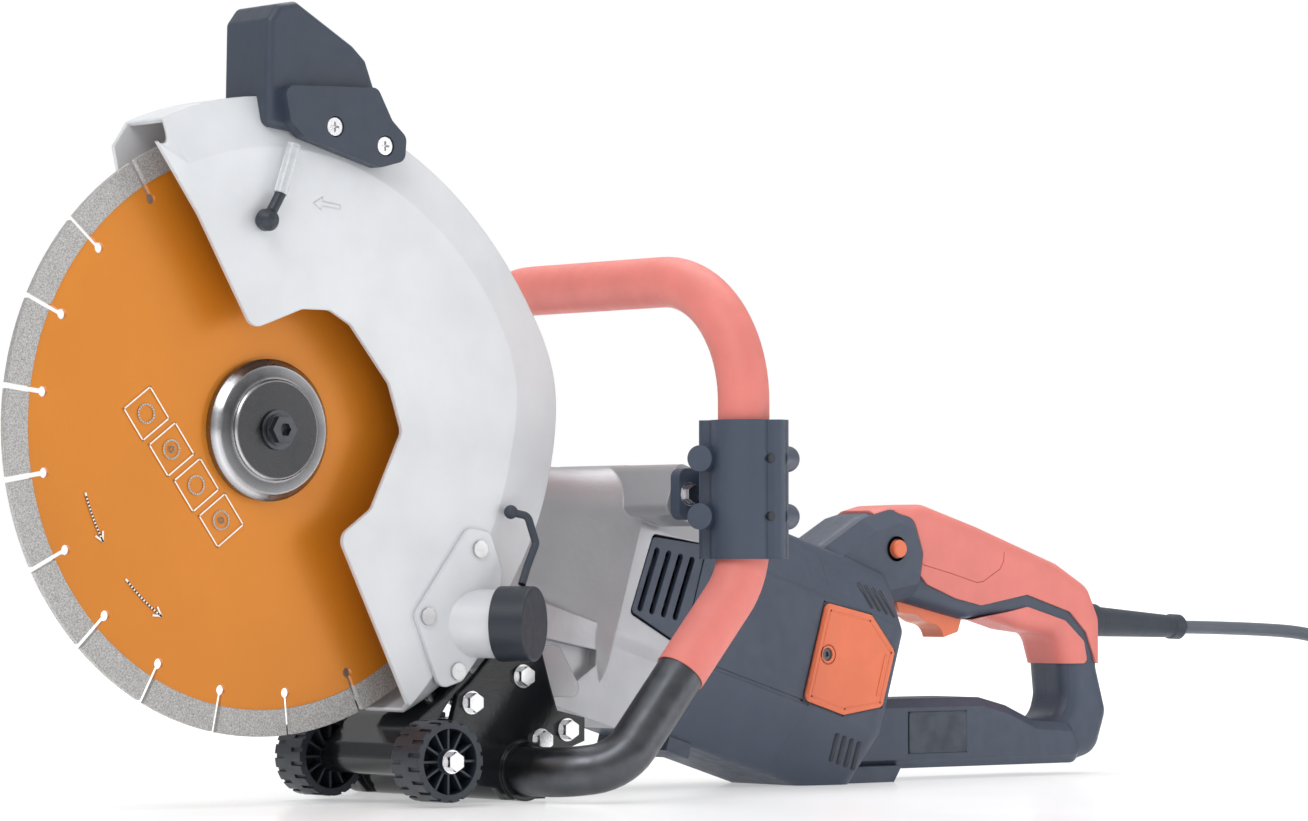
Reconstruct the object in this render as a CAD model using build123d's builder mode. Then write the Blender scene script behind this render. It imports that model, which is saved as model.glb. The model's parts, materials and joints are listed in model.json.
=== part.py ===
"""Concrete cut-off saw: diamond blade in a cast guard, bevel gearbox, universal
motor, wrap-round front handle, rear D-handle, front rollers and mains lead.

Frame: +X from the blade to the rear handle, +Y to the operator's right, +Z up.
The origin lies on the floor below the middle of the saw.  All profiles are
drawn about the blade arbor, whose place in that frame is ARBOR.
"""

from build123d import *
import math
import os

os.makedirs("parts", exist_ok=True)

# ---------------------------------------------------------------- dimensions
ARBOR = Vector(-235.9, -45, 188)      # blade centre in the saw's frame
MID = 50.0                          # motor and rear handle centre plane, from the blade
MOTOR_TILT = 17.0                   # slope of the motor axis, down to the rear

BLADE_R = 152.5                     # 305 mm blade
CORE_R = 139.2
BORE_R = 11.1                       # 22.2 mm bore
CORE_T = 2.2
SEGMENT_T = 3.2
SEGMENTS = 21
SLOT_W = 2.4
SLOT_HOLE_R = 2.6
SLOT_END_R = 131.5
SLOT_ANGLE = 138.5                  # one slot, up from +X
FLANGE_R = 35.5

GUARD_NEAR = -22.0                  # outer faces of the guard, across the blade
GUARD_FAR = 18.0
GUARD_WALL = 2.5

LEG_LEFT = -76.0
LEG_RIGHT = 166.0
LOOP_MID = (LEG_LEFT + LEG_RIGHT) / 2
LEG_X = 250.0

WHEEL_R = 20.5
WHEEL_W = 22.0
WHEEL_X, WHEEL_Z = 73.0, -165.0
WHEEL_LEFT = -47.0                  # middle of each roller
WHEEL_RIGHT = 53.0
AXLE_R = 4.0
AXLE_LEFT, AXLE_RIGHT = -58.6, 64.6

GEAR_TEETH, PINION_TEETH = 47, 12
GEAR_PITCH_R = 46.0
PINION_PITCH_R = GEAR_PITCH_R * PINION_TEETH / GEAR_TEETH

CORD_R = 4.0
EXPORTS = []


def side(y=0.0):
    """Plane across the blade: local x to the rear, local y up, normal to the left."""
    return Plane(origin=(ARBOR.X, ARBOR.Y + y, ARBOR.Z), x_dir=(1, 0, 0), z_dir=(0, -1, 0))


AXIS = Vector(math.cos(math.radians(MOTOR_TILT)), 0, -math.sin(math.radians(MOTOR_TILT)))


def motor_side(y=0.0):
    """Like side(), but turned so that local x runs down the motor axis."""
    return Plane(origin=(ARBOR.X, ARBOR.Y + y, ARBOR.Z), x_dir=AXIS, z_dir=(0, -1, 0))


def motor_cross(u=0.0):
    """Plane square to the motor axis, u along it: local x to the right, local y up."""
    start = ARBOR + Vector(0, MID, 0) + AXIS * u
    return Plane(origin=start, x_dir=(0, 1, 0), z_dir=AXIS)


def spun(y=0.0, x=0.0, z=0.0):
    """Plane for turned parts about an axis along Y: local x is the radius, local y is +Y."""
    return Plane(origin=(ARBOR.X + x, ARBOR.Y + y, ARBOR.Z + z), x_dir=(1, 0, 0), z_dir=(0, 0, 1))


def y_axis(x=0.0, z=0.0):
    return Axis((ARBOR.X + x, ARBOR.Y, ARBOR.Z + z), (0, 1, 0))


MOTOR_AXIS = Axis(tuple(ARBOR + Vector(0, MID, 0)), tuple(AXIS))


def motor_spun():
    """Plane for parts turned about the motor axis: local x along it, local y the radius."""
    return Plane(origin=ARBOR + Vector(0, MID, 0), x_dir=AXIS, z_dir=(0, -1, 0))


def at(x, y, z):
    """A point given from the arbor."""
    return Vector(ARBOR.X + x, ARBOR.Y + y, ARBOR.Z + z)


def polar(r, degrees):
    return (r * math.cos(math.radians(degrees)), r * math.sin(math.radians(degrees)))


def keep(builder, name):
    """Label a finished piece and put it on the list of STEP files."""
    builder.part.label = name
    EXPORTS.append(builder.part)


def turned(points, plane, axis):
    """Ring or shaft turned from a closed profile."""
    with BuildPart() as piece:
        with BuildSketch(plane):
            with BuildLine():
                Polyline(*points, close=True)
            make_face()
        revolve(axis=axis)
    return piece


def slab(points, y_left, y_right, plane=side):
    """Flat piece with a straight-sided outline, between two planes across the blade."""
    with BuildPart() as piece:
        with BuildSketch(plane(y_right)):
            with BuildLine():
                Polyline(*points, close=True)
            make_face()
        extrude(amount=y_right - y_left)
    return piece


# ---------------------------------------------------------------- blade
with BuildPart() as blade_core:
    with BuildSketch(side(CORE_T / 2)):
        Circle(CORE_R)
        Circle(BORE_R, mode=Mode.SUBTRACT)
        with PolarLocations(0, SEGMENTS, start_angle=SLOT_ANGLE):
            with Locations((SLOT_END_R, 0)):
                Circle(SLOT_HOLE_R, mode=Mode.SUBTRACT)
            with Locations(((SLOT_END_R + CORE_R + 1) / 2, 0)):
                Rectangle(CORE_R + 1 - SLOT_END_R, SLOT_W, mode=Mode.SUBTRACT)
    extrude(amount=CORE_T)
keep(blade_core, "blade_core")

with BuildPart() as diamond_segments:
    with BuildSketch(side(SEGMENT_T / 2)):
        Circle(BLADE_R)
        Circle(CORE_R, mode=Mode.SUBTRACT)
        with PolarLocations(0, SEGMENTS, start_angle=SLOT_ANGLE):
            with Locations(((BLADE_R + CORE_R) / 2, 0)):
                Rectangle(BLADE_R - CORE_R + 4, SLOT_W + 0.6, mode=Mode.SUBTRACT)
    extrude(amount=SEGMENT_T)
keep(diamond_segments, "diamond_segments")

outer_flange = turned(
    [(5.3, -12), (24.5, -12), (25.3, -11.2), (25.3, -9.6), (32.0, -8.6), (35.5, -5), (35.5, -1.1),
     (11.4, -1.1), (11.4, -6), (5.3, -6)], spun(), y_axis())
keep(outer_flange, "outer_flange")

inner_flange = turned(
    [(12.1, 1.1), (FLANGE_R, 1.1), (FLANGE_R, 5), (30, 8.5), (12.1, 8.5)], spun(), y_axis())
keep(inner_flange, "inner_flange")

bolt_washer = turned([(5.3, -12), (10, -12), (10, -13.5), (5.3, -13.5)], spun(), y_axis())
keep(bolt_washer, "bolt_washer")

with BuildPart() as blade_bolt:
    with BuildSketch(side(-13.5)):
        Circle(8)
    extrude(amount=1.2)
    with BuildSketch(side(-14.7)):
        RegularPolygon(6.5, 6, major_radius=False)
    extrude(amount=4.3)
    with BuildSketch(side(-19)):
        RegularPolygon(3, 6, major_radius=False)
    extrude(amount=-3.5, mode=Mode.SUBTRACT)
    with BuildSketch(side(-13.5)):
        Circle(5)
    extrude(amount=-28)
keep(blade_bolt, "blade_bolt")

spindle = turned(
    [(5.1, -4.5), (11, -4.5), (11, 1.1), (12, 1.1), (12, 8.5), (16, 8.5), (16, 12), (12.5, 12),
     (12.5, 34), (12, 34), (12, 44), (14, 44), (14, 50), (8.5, 50), (8.5, 80), (0, 80), (0, 15),
     (5.1, 15)], spun(), y_axis())
keep(spindle, "spindle")


def gap_planes(teeth, apex, axis_dir, radial, radius, back, slope):
    """Planes on a bevel gear's pitch cone, one for each tooth gap.

    radius and back place the middle of the face from the apex, across and along axis_dir.
    """
    across = axis_dir.cross(radial)
    planes = []
    for tooth in range(teeth):
        turn = 2 * math.pi * tooth / teeth
        out = radial * math.cos(turn) + across * math.sin(turn)
        along = out * math.cos(slope) + axis_dir * math.sin(slope)
        planes.append(Plane(origin=apex + out * radius + axis_dir * back, x_dir=along,
                            z_dir=along.cross(out.cross(axis_dir))))
    return planes


# Bevel pair: both pitch cones meet where the spindle crosses the motor axis.
APEX = at(0, MID, 0)
PITCH_SLOPE = math.atan2(PINION_PITCH_R, GEAR_PITCH_R)
FACE_MIDDLE = 40.3
GAP_DEPTH = 1.2
RIM_GAP = 0.35                      # between the two pitch cones

with BuildPart() as bevel_gear:
    with BuildSketch(spun()):
        with BuildLine():
            Polyline((12.05, 34), (20, 34), (45.5, 35.2), (46.2, 37.6), (34.6, 40.6), (18, 41),
                     (18, 43.9), (12.05, 43.9), close=True)
        make_face()
    revolve(axis=y_axis())
    with Locations(*gap_planes(GEAR_TEETH, APEX, Vector(0, -1, 0), Vector(1, 0, 0), FACE_MIDDLE,
                               FACE_MIDDLE * math.tan(PITCH_SLOPE) + RIM_GAP, PITCH_SLOPE)):
        Box(18, 1.6, 2 * GAP_DEPTH, mode=Mode.SUBTRACT)
keep(bevel_gear, "bevel_gear")


# ---------------------------------------------------------------- armature
def motor_turned(points):
    return turned(points, motor_spun(), MOTOR_AXIS)


with BuildPart() as bevel_pinion:
    with BuildSketch(motor_spun()):
        with BuildLine():
            Polyline((34.5, 5.05), (34.5, 8.65), (46, 11.65), (48, 9), (54, 9), (54, 5.05),
                     close=True)
        make_face()
    revolve(axis=MOTOR_AXIS)
    with Locations(*gap_planes(PINION_TEETH, APEX, AXIS, Vector(0, 1, 0),
                               FACE_MIDDLE * math.tan(PITCH_SLOPE) - RIM_GAP, FACE_MIDDLE,
                               math.pi / 2 - PITCH_SLOPE)):
        Box(15, 1.8, 2 * GAP_DEPTH, mode=Mode.SUBTRACT)
keep(bevel_pinion, "bevel_pinion")

FAN_U = (262.0, 284.0)
CORE_U = (300.0, 372.0)
COMMUTATOR_U = (384.0, 410.0)
REAR_BEARING_U = (416.0, 427.0)
NOSE_BEARING_U = (58.0, 70.0)

armature_shaft = motor_turned(
    [(33, 0), (33, 5), (54, 5), (54, 7.5), (428, 7.5), (428, 0)])
keep(armature_shaft, "armature_shaft")

with BuildPart() as armature_core:
    with BuildSketch(motor_cross(CORE_U[0])):
        Circle(27)
        Circle(7.5, mode=Mode.SUBTRACT)
        with PolarLocations(26.2, 16):
            Rectangle(3, 1.8, mode=Mode.SUBTRACT)
    extrude(amount=CORE_U[1] - CORE_U[0])
    with BuildSketch(motor_cross(CORE_U[0] - 9), motor_cross(CORE_U[1])):
        Circle(22)
        Circle(7.5, mode=Mode.SUBTRACT)
    extrude(amount=9)
keep(armature_core, "armature_core")

with BuildPart() as commutator:
    with BuildSketch(motor_cross(COMMUTATOR_U[0])):
        Circle(16)
        Circle(7.5, mode=Mode.SUBTRACT)
        with PolarLocations(15.7, 24):
            Rectangle(1.4, 0.8, mode=Mode.SUBTRACT)
    extrude(amount=COMMUTATOR_U[1] - COMMUTATOR_U[0])
keep(commutator, "commutator")

with BuildPart() as cooling_fan:
    with BuildSketch(motor_cross(FAN_U[0])):
        Circle(46)
        Circle(7.5, mode=Mode.SUBTRACT)
    extrude(amount=3)
    with BuildSketch(motor_cross(FAN_U[0])):
        Circle(14)
        Circle(7.5, mode=Mode.SUBTRACT)
        with PolarLocations(29, 12):
            Rectangle(30, 2.4, rotation=28)
    extrude(amount=FAN_U[1] - FAN_U[0])
keep(cooling_fan, "cooling_fan")


def ball_bearings(places):
    """Bearings as plain rings: (plane, bore radius, outer radius, width)."""
    with BuildPart() as piece:
        for plane, bore, outer, width in places:
            with BuildSketch(plane):
                Circle(outer)
                Circle(bore, mode=Mode.SUBTRACT)
            extrude(amount=width)
    return piece


spindle_bearings = ball_bearings(
    [(side(33), 12.5, 23.5, 12), (side(79), 8.5, 17.5, 12)])
keep(spindle_bearings, "spindle_bearings")
armature_bearings = ball_bearings(
    [(motor_cross(NOSE_BEARING_U[0]), 7.5, 17.5, 12),
     (motor_cross(REAR_BEARING_U[0]), 7.5, 16, REAR_BEARING_U[1] - REAR_BEARING_U[0])])
keep(armature_bearings, "armature_bearings")

# ---------------------------------------------------------------- motor
MOTOR_FRONT, SEAM_U, MOTOR_END = 292.0, 386.0, 447.0
BODY = [(52, 28), (28, 60), (-28, 60), (-52, 28), (-52, -32), (-30, -71), (30, -71), (52, -32)]


def body_profile(inset=0.0):
    """Eight-sided section of the motor body, rounded, shrunk by inset all round."""
    with BuildSketch() as profile:
        with BuildLine():
            FilletPolyline(*BODY, radius=7, close=True)
        make_face()
        if inset:
            offset(amount=-inset, mode=Mode.REPLACE)
    return profile.sketch


with BuildPart() as stator:
    with BuildSketch(motor_cross(CORE_U[0] + 2)):
        Circle(46)
        Circle(28, mode=Mode.SUBTRACT)
        with Locations((30, 0), (-30, 0)):
            Rectangle(10, 44, mode=Mode.SUBTRACT)
    extrude(amount=CORE_U[1] - CORE_U[0] - 4)
keep(stator, "stator")

with BuildPart() as motor_housing:
    with BuildSketch(motor_cross(MOTOR_FRONT)):
        add(body_profile())
    extrude(amount=SEAM_U - MOTOR_FRONT)
    with BuildSketch(motor_cross(MOTOR_FRONT)):
        add(body_profile(3))
    extrude(amount=SEAM_U - MOTOR_FRONT, mode=Mode.SUBTRACT)
    with BuildSketch(motor_cross(CORE_U[0])):
        Circle(49.5)
        Circle(46, mode=Mode.SUBTRACT)
    extrude(amount=CORE_U[1] - CORE_U[0])
    with BuildSketch(motor_side(-4), motor_side(MID * 2 + 2)):
        with Locations((345, -31)):
            Rectangle(84, 2.2)
    extrude(amount=-2.6, mode=Mode.SUBTRACT)
    with BuildSketch(motor_side(80)):
        with Locations((322, -74)):
            Rectangle(16, 8)
    extrude(amount=60)
keep(motor_housing, "motor_housing")


def both_sides(y_left):
    """The same thing on the left and on the right of the motor."""
    return [(1, y_left), (-1, 2 * MID - y_left)]


with BuildPart() as brush_holders:
    for sign, y in both_sides(4.0):
        with BuildSketch(Plane(origin=at(0, y, 0) + AXIS * 397, x_dir=AXIS, z_dir=(0, -sign, 0))):
            Rectangle(17, 13)
            Rectangle(13.1, 8.1, mode=Mode.SUBTRACT)
        extrude(amount=-26)
keep(brush_holders, "brush_holders")

with BuildPart() as carbon_brushes:
    for sign, y in both_sides(12.0):
        with BuildSketch(Plane(origin=at(0, y, 0) + AXIS * 397, x_dir=AXIS, z_dir=(0, -sign, 0))):
            Rectangle(13, 8)
        extrude(amount=-21.4)
keep(carbon_brushes, "carbon_brushes")

# ---------------------------------------------------------------- rear handle
HANDLE_W = 36.0                     # across the grip
BLOCK_W = 48.0                      # across the switch block and the bridge
FLOOR = -ARBOR.Z
HANDLE_OUTER = [(392, -66), (404, -56), (432, -40), (452, -35), (480, -34), (521, -46),
                (584, -67), (608, -80), (617, -98), (617, -126), (625, -152), (616, -176),
                (596, -181), (392, -181)]
HANDLE_INNER = [(440, -87), (466, -88), (512, -98), (530, -96), (556, -103), (582, -106),
                (588, -124), (590, -142), (586, -156), (558, -155), (538, -147), (517, -142),
                (440, -142)]



def handle_profile(shrink=0.0):
    """D-shaped side view of the rear handle, its wall moved in by shrink all round."""
    with BuildSketch() as profile:
        with BuildLine():
            FilletPolyline(*HANDLE_OUTER, radius=14, close=True)
        make_face()
        with BuildLine():
            FilletPolyline(*HANDLE_INNER, radius=12, close=True)
        make_face(mode=Mode.SUBTRACT)
        if shrink:
            offset(amount=-shrink, mode=Mode.REPLACE)
    return profile.sketch


def rear_block(points, y_left, edge):
    """Wider part of the handle, the same on both sides of the middle plane."""
    with BuildPart() as piece:
        with BuildSketch(side(2 * MID - y_left)):
            with BuildLine():
                FilletPolyline(*points, radius=edge + 2, close=True)
            make_face()
        extrude(amount=2 * (MID - y_left))
        ends = piece.faces().sort_by(Axis.Y)
        chamfer(ends[0].edges() + ends[-1].edges(), edge)
    return piece.part


with BuildPart() as grip_body:
    with BuildSketch(side(MID + HANDLE_W / 2)):
        add(handle_profile())
    extrude(amount=HANDLE_W)
    ends = grip_body.faces().sort_by(Axis.Y)
    fillet(ends[0].edges() + ends[-1].edges(), 10)

SWITCH_BLOCK = [(395, -100), (396, -64), (405, -56), (432, -41), (452, -36), (470, -38),
                (478, -60), (474, -84), (440, -90)]
BRIDGE_BLOCK = [(400, -181), (400, -142), (517, -142), (538, -147), (560, -156), (590, -158),
                (600, -181)]
switch_block = rear_block(SWITCH_BLOCK, MID - BLOCK_W / 2, 8)
bridge_block = rear_block(BRIDGE_BLOCK, MID - BLOCK_W / 2, 5)

with BuildPart() as end_cap:
    with BuildSketch(motor_cross(SEAM_U)):
        add(body_profile())
    extrude(amount=MOTOR_END - SEAM_U)
    cap_rim = end_cap.faces().sort_by(Axis(MOTOR_AXIS.position, MOTOR_AXIS.direction))[-1]
    fillet(cap_rim.edges(), 12)

with BuildPart() as rear_foot:
    with BuildSketch(side(MID + 26)):
        with BuildLine():
            Polyline((372, -179), (452, -179), (446, FLOOR), (384, FLOOR), close=True)
        make_face()
    extrude(amount=52)

with BuildPart() as rear_outside:
    add(grip_body.part)
    add(switch_block)
    add(bridge_block)
    add(end_cap.part)
    add(rear_foot.part)
    with BuildSketch(motor_cross(SEAM_U)):
        Rectangle(400, 400)
    extrude(amount=-300, mode=Mode.SUBTRACT)
    split(bisect_by=Plane(origin=at(0, 0, FLOOR)), keep=Keep.TOP)

RELIEF_START = at(600, MID, -98.5)  # cord strain relief, from inside the shell
RELIEF_DIR = Vector(1, 0, -0.054).normalized()
RELIEF_R = 11.2
TRIGGER_SLOT = [(461, -108), (463, -66), (521, -80), (521, -112)]
BUTTON = (450, -58)
BUTTON_R = 5.0
with BuildPart() as rear_hollow:
    with BuildSketch(side(MID + HANDLE_W / 2 - 3)):
        add(handle_profile(3))
    extrude(amount=HANDLE_W - 6)
    with BuildSketch(motor_cross(SEAM_U)):
        add(body_profile(3))
    extrude(amount=MOTOR_END - SEAM_U - 6)
    with BuildSketch(side(MID + 9)):
        with BuildLine():
            Polyline(*TRIGGER_SLOT, close=True)
        make_face()
    extrude(amount=18)
    with BuildSketch(Plane(origin=RELIEF_START, z_dir=RELIEF_DIR)):
        Circle(RELIEF_R + 0.1)
    extrude(amount=40)
    with BuildSketch(side(0)):
        with Locations(BUTTON):
            Circle(BUTTON_R + 0.08)
    extrude(amount=-60)
    split(bisect_by=Plane(origin=at(0, 0, FLOOR + 3)), keep=Keep.TOP)

rear_shell = rear_outside.part - rear_hollow.part
for name, half in (("handle_shell_left", Keep.BOTTOM), ("handle_shell_right", Keep.TOP)):
    with BuildPart() as shell:
        add(rear_shell)
        split(bisect_by=Plane(origin=at(0, MID, 0), z_dir=(0, 1, 0)), keep=half)
    keep(shell, name)


# ---------------------------------------------------------------- grips, trigger, buttons
UPPER_GRIP = [(441, -20), (640, -20), (640, -124), (611, -124), (603, -106), (590, -94),
              (556, -84), (520, -90), (500, -86), (478, -78), (466, -66), (460, -52), (441, -42)]
LOWER_GRIP = [(520, -98), (556, -91), (586, -99), (601, -111), (604, -124), (570, -124),
              (560, -115), (520, -115)]
GRIP_SKIN = 1.2

with BuildPart() as skin_body:
    with BuildSketch(side(MID + HANDLE_W / 2 + GRIP_SKIN)):
        add(handle_profile(-GRIP_SKIN))
    extrude(amount=HANDLE_W + 2 * GRIP_SKIN)
    ends = skin_body.faces().sort_by(Axis.Y)
    fillet(ends[0].edges() + ends[-1].edges(), 10)


def grip_cover(points):
    """Rubber skin moulded over part of the handle, GRIP_SKIN thick."""
    with BuildPart() as cover:
        with BuildSketch(side(MID + HANDLE_W)):
            with BuildLine():
                FilletPolyline(*points, radius=3, close=True)
            make_face()
        extrude(amount=2 * HANDLE_W)
        add(skin_body.part, mode=Mode.INTERSECT)
        add(rear_outside.part, mode=Mode.SUBTRACT)
        with BuildSketch(Plane(origin=RELIEF_START, z_dir=RELIEF_DIR)):
            Circle(RELIEF_R + 0.1)
        extrude(amount=40, mode=Mode.SUBTRACT)
    return cover.part.solids().sort_by(SortBy.VOLUME)[-1]


with BuildPart() as upper_grip_cover:
    add(grip_cover(UPPER_GRIP))
keep(upper_grip_cover, "upper_grip_cover")
with BuildPart() as lower_grip_cover:
    add(grip_cover(LOWER_GRIP))
keep(lower_grip_cover, "lower_grip_cover")

TRIGGER_HINGE = (468, -76)
TRIGGER_W = 17.4
with BuildPart() as trigger:
    with BuildSketch(side(MID + TRIGGER_W / 2)):
        with BuildLine():
            outline = Polyline((466, -80), (516, -91), (511, -105), (500, -108))
            Spline((500, -108), (494, -101), (486, -99), (478, -95), (468, -94), (464, -88))
            Line((464, -88), (466, -80))
        make_face()
    extrude(amount=TRIGGER_W)
    fillet(trigger.edges().filter_by(Axis.Y).sort_by(Axis.X)[-2:], 2)
keep(trigger, "trigger")

with BuildPart() as switch_module:
    with BuildSketch(side(MID + 10)):
        with BuildLine():
            Polyline((474, -62), (512, -72), (514, -78), (472, -68), close=True)
        make_face()
    extrude(amount=20)
keep(switch_module, "switch_module")

with BuildPart() as lock_button:
    with BuildSketch(side(MID - BLOCK_W / 2 - 4)):
        with Locations(BUTTON):
            Circle(BUTTON_R)
    extrude(amount=-20)
    fillet(lock_button.faces().sort_by(Axis.Y)[0].edges(), 1.5)
keep(lock_button, "lock_button")

COVER = [(381, 25), (415, 28), (437, 14), (437, -18), (411, -30), (381, -30)]
COVER_Y = -4.5
COVER_SCREW = (389, -2)


def brush_cover(sign, y):
    with BuildPart() as cover:
        with BuildSketch(Plane(origin=at(0, y, 0), x_dir=AXIS, z_dir=(0, -sign, 0))):
            with BuildLine():
                FilletPolyline(*[(u, sign * v) for u, v in COVER], radius=4, close=True)
            make_face()
        extrude(amount=-2.3)
        rim = cover.faces().sort_by(Axis.Y)[0 if sign > 0 else -1]
        chamfer(rim.edges(), 1.2)
        with BuildSketch(Plane(origin=at(0, y, 0), x_dir=AXIS, z_dir=(0, -sign, 0))):
            with Locations((COVER_SCREW[0], sign * COVER_SCREW[1])):
                Circle(3.6)
        extrude(amount=-2.3, mode=Mode.SUBTRACT)
    return cover


for (sign, y), word in zip(both_sides(COVER_Y), ("left", "right")):
    keep(brush_cover(sign, y), f"brush_cover_{word}")

with BuildPart() as brush_cover_screws:
    for sign, y in both_sides(COVER_Y + 0.8):
        seat = Plane(origin=at(0, y, 0), x_dir=AXIS, z_dir=(0, -sign, 0))
        with BuildSketch(seat):
            with Locations((COVER_SCREW[0], sign * COVER_SCREW[1])):
                Circle(3.5)
        extrude(amount=-1.5)
        with BuildSketch(seat):
            with Locations((COVER_SCREW[0], sign * COVER_SCREW[1])):
                RegularPolygon(1.5, 6)
        extrude(amount=-1, mode=Mode.SUBTRACT)
keep(brush_cover_screws, "brush_cover_screws")

with BuildPart() as rating_plate:
    with BuildSketch(side(MID - BLOCK_W / 2)):
        with Locations((481, -161)):
            RectangleRounded(44, 23, 2)
    extrude(amount=0.6)
keep(rating_plate, "rating_plate")

SCREW_PLACES = [(420, -70), (545, -74), (603, -146), (560, -168), (460, -172)]
with BuildPart() as handle_screws:
    with BuildSketch(side(MID + HANDLE_W / 2 - 3)):
        with Locations(*SCREW_PLACES):
            Circle(2.2)
    extrude(amount=HANDLE_W - 6)
keep(handle_screws, "handle_screws")

# ---------------------------------------------------------------- guard
# Rim and ridge of the guard seen from the left: (angle, rim radius, ridge radius).
GUARD_RIM = [(115, 167, 142), (64, 163, 138), (39, 165, 140), (22, 171, 144), (10, 176, 145),
             (-3, 173, 140), (-15, 169, 137), (-26, 165, 136), (-46, 163, 146), (-61.5, 161, 157)]
GUARD_FRONT = [(-20, -62), (-56, -20), (-62, 60), (-79, 139)]
SHOULDER = -14.0                    # where the sloping band meets the rim
MOUTH = [(-150, 260), (-79, 139), (-54, 104), (-22, 49), (8, 60), (25, 60), (38, 53), (62, 24),
         (70, 0), (51, -39), (31, -53), (80, -150), (60, -260), (-260, -260), (-260, 260)]


def guard_profile(column, inset=0.0, front=GUARD_FRONT):
    """Outline through the rim (column 1) or the ridge (column 2), closed along the front."""
    rim = [polar(row[column] - inset, row[0]) for row in GUARD_RIM]
    with BuildSketch() as profile:
        with BuildLine():
            Spline(*rim)
            Polyline(rim[-1], *front, rim[0])
        make_face()
    return profile.sketch


def guard_block(inset, front):
    """Solid guard, or the space in it: flat sides, sloping near band."""
    with BuildPart() as block:
        with BuildSketch(side(GUARD_FAR - inset)):
            add(guard_profile(1, inset, front))
        extrude(amount=GUARD_FAR - inset - SHOULDER)
        with BuildSketch(side(SHOULDER)):
            add(guard_profile(1, inset, front))
        with BuildSketch(side(GUARD_NEAR + inset)):
            add(guard_profile(2, inset, front))
        loft()
    return block.part


PORT_DIR = Vector(0.53, -0.848, 0)
PORT_BASE = (113, -17, -97)
PORT_R, PORT_BORE = 17.5, 15.5
PORT_LENGTH = 36.0
CAP_START, CAP_END = 20.0, 38.5


def port_plane(along=0.0):
    return Plane(origin=at(*PORT_BASE) + PORT_DIR * along, x_dir=(0, 0, 1), z_dir=PORT_DIR)


RIVETS = [(117, -59), (103, -121), (84, -93)]
OPEN_FRONT = [(40, -300), (-300, -300), (-300, 300)]
with BuildPart() as guard_shell:
    add(guard_block(0, GUARD_FRONT))
    add(guard_block(GUARD_WALL, OPEN_FRONT), mode=Mode.SUBTRACT)
    with BuildSketch(side(GUARD_NEAR + 12)):
        with BuildLine():
            FilletPolyline(*MOUTH, radius=7, close=True)
        make_face()
    extrude(amount=30, mode=Mode.SUBTRACT)
    with BuildSketch(side(GUARD_FAR + 1)):
        Circle(34)
    extrude(amount=8, mode=Mode.SUBTRACT)
    with BuildSketch(port_plane(-12)):
        Circle(PORT_R + 0.4)
    extrude(amount=30, mode=Mode.SUBTRACT)
    with BuildSketch(side(GUARD_NEAR + 6)):
        with Locations(*RIVETS):
            Circle(2.5)
    extrude(amount=12, mode=Mode.SUBTRACT)
keep(guard_shell, "guard_shell")

PORT_PLATE = [(76, -92), (110, -48), (124, -50), (132, -70), (128, -100), (106, -126), (92, -130)]
with BuildPart() as dust_port:
    with BuildSketch(side(GUARD_NEAR - 0.1)):
        with BuildLine():
            FilletPolyline(*PORT_PLATE, radius=6, close=True)
        make_face()
        with Locations(*RIVETS):
            Circle(2.5, mode=Mode.SUBTRACT)
    extrude(amount=2.4)
    with BuildSketch(port_plane(-4)):
        Circle(PORT_R)
    extrude(amount=PORT_LENGTH + 4)
    with BuildSketch(port_plane(-4)):
        Circle(PORT_BORE)
    extrude(amount=PORT_LENGTH + 4, mode=Mode.SUBTRACT)
    with BuildSketch(side(GUARD_NEAR - 0.1)):
        Rectangle(600, 600)
    extrude(amount=-40, mode=Mode.SUBTRACT)
keep(dust_port, "dust_port")

with BuildPart() as port_rivets:
    with BuildSketch(side(GUARD_NEAR + GUARD_WALL)):
        with Locations(*RIVETS):
            Circle(2.4)
    extrude(amount=GUARD_WALL + 2.5)
    with BuildSketch(side(GUARD_NEAR - 2.5)):
        with Locations(*RIVETS):
            Circle(4.5)
    extrude(amount=1.6)
keep(port_rivets, "port_rivets")

with BuildPart() as port_cap:
    with BuildSketch(port_plane(CAP_START)):
        Circle(19.2)
    extrude(amount=CAP_END - CAP_START)
    fillet(port_cap.faces().sort_by(Axis.Y)[0].edges(), 1.2)
    with BuildSketch(port_plane(CAP_START)):
        Circle(PORT_R + 0.06)
    extrude(amount=PORT_LENGTH + 0.6 - CAP_START, mode=Mode.SUBTRACT)
keep(port_cap, "port_cap")

STRAP = [(136, -26, -40), (143, -31, -42), (146, -34, -56), (138, -37, -68), (133, -39, -77)]
with BuildPart() as cap_strap:
    with BuildLine():
        FilletPolyline(*[at(*point) for point in STRAP], radius=4)
    with BuildSketch(Plane(origin=at(*STRAP[0]), z_dir=at(*STRAP[1]) - at(*STRAP[0]))):
        Circle(2)
    sweep()
    with Locations(at(*STRAP[0])):
        Sphere(3.6)
keep(cap_strap, "cap_strap")

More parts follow.
